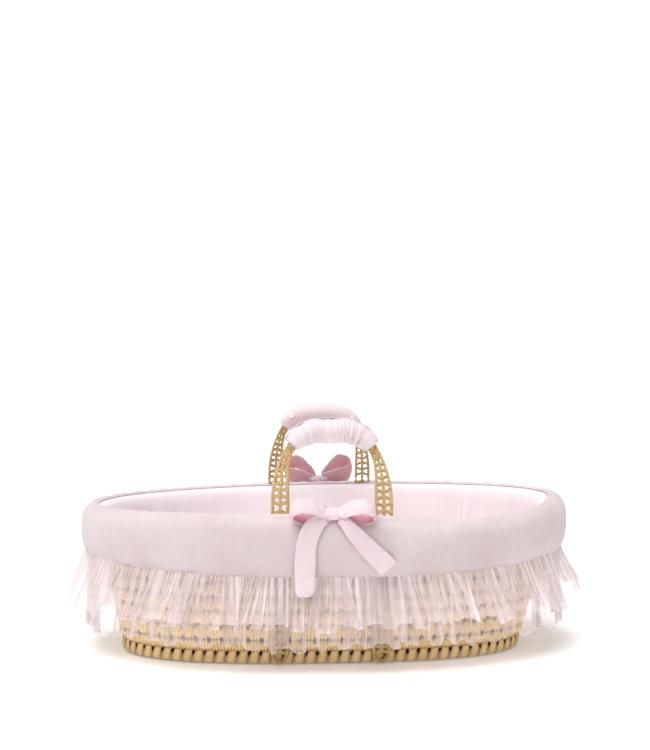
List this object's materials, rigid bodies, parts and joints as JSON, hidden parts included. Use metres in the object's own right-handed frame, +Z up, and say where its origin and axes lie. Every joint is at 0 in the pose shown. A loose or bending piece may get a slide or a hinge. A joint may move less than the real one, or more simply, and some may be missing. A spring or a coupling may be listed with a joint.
{
  "type": "moses basket",
  "caption": "Oval woven palm baby basket with folding carry handles, a padded cover with a tulle frill and bows, and loose bedding inside.",
  "frame": {"origin": "middle of the basket's flat underside, on the floor", "axes": "+X towards the foot end (head end at -X), -Y towards the front side with the bow that the view faces, +Z up"},
  "size_m": [0.92, 0.5252, 0.4145],
  "materials": {
    "palm_leaf": "dry woven palm leaf, matt",
    "braided_palm": "braided palm leaf, matt with a slight sheen",
    "pink_pique": "pale pink cotton pique, padded",
    "pink_cotton": "pale pink quilted cotton",
    "lining_cotton": "plain pale pink cotton",
    "elastic": "white elastic cord",
    "rose_trim": "rose pink satin cord and thread",
    "tulle": "sheer white tulle",
    "ribbon": "soft pink cotton ribbon",
    "white_cotton": "plain white cotton",
    "foam": "soft foam",
    "snap_metal": "white lacquered snap button"
  },
  "bodies": {
    "basket": {"woven_base": "palm_leaf", "foot_coil": "palm_leaf", "woven_wall": "palm_leaf", "rim_coil": "palm_leaf", "front_left_strap": "braided_palm", "front_right_strap": "braided_palm", "back_left_strap": "braided_palm", "back_right_strap": "braided_palm", "outer_valance": "pink_pique", "valance_hem": "pink_pique", "rim_piping": "rose_trim", "inner_lining": "lining_cotton", "lining_elastic": "elastic", "tulle_frill_short": "tulle", "tulle_frill_long": "tulle", "front_bow_left_loop": "ribbon", "front_bow_right_loop": "ribbon", "front_bow_knot": "ribbon", "front_bow_left_tail": "ribbon", "front_bow_right_tail": "ribbon", "back_bow_left_loop": "ribbon", "back_bow_right_loop": "ribbon", "back_bow_knot": "ribbon", "back_bow_left_tail": "ribbon", "back_bow_right_tail": "ribbon"},
    "front_handle": {"front_handle": "braided_palm", "front_handle_cover": "pink_pique", "front_handle_snaps": "snap_metal"},
    "back_handle": {"back_handle": "braided_palm", "back_handle_cover": "pink_pique", "back_handle_snaps": "snap_metal"},
    "mattress": {"mattress_foam": "foam", "fitted_sheet": "white_cotton"},
    "pillow": {"pillow": "white_cotton"},
    "coverlet": {"coverlet": "pink_cotton", "turndown_sheet": "white_cotton", "turndown_border": "pink_pique", "turndown_piping": "rose_trim", "embroidered_heart": "rose_trim"}
  },
  "joints": [
    {"name": "front_handle_fold", "type": "hinge", "parent": "basket", "child": "front_handle", "pos_m": [0, -0.2093, 0.266], "axis": [-1, 0, 0], "range_deg": [-104, 72]},
    {"name": "back_handle_fold", "type": "hinge", "parent": "basket", "child": "back_handle", "pos_m": [0, 0.2093, 0.266], "axis": [1, 0, 0], "range_deg": [-104, 72]},
    {"name": "mattress_lift", "type": "slide", "parent": "basket", "child": "mattress", "axis": [0, 0, 1], "range_m": [0, 0.42]},
    {"name": "pillow_lift", "type": "slide", "parent": "mattress", "child": "pillow", "axis": [0, 0, 1], "range_m": [0, 0.38]},
    {"name": "coverlet_lift", "type": "slide", "parent": "mattress", "child": "coverlet", "axis": [0, 0, 1], "range_m": [0, 0.4]}
  ]
}
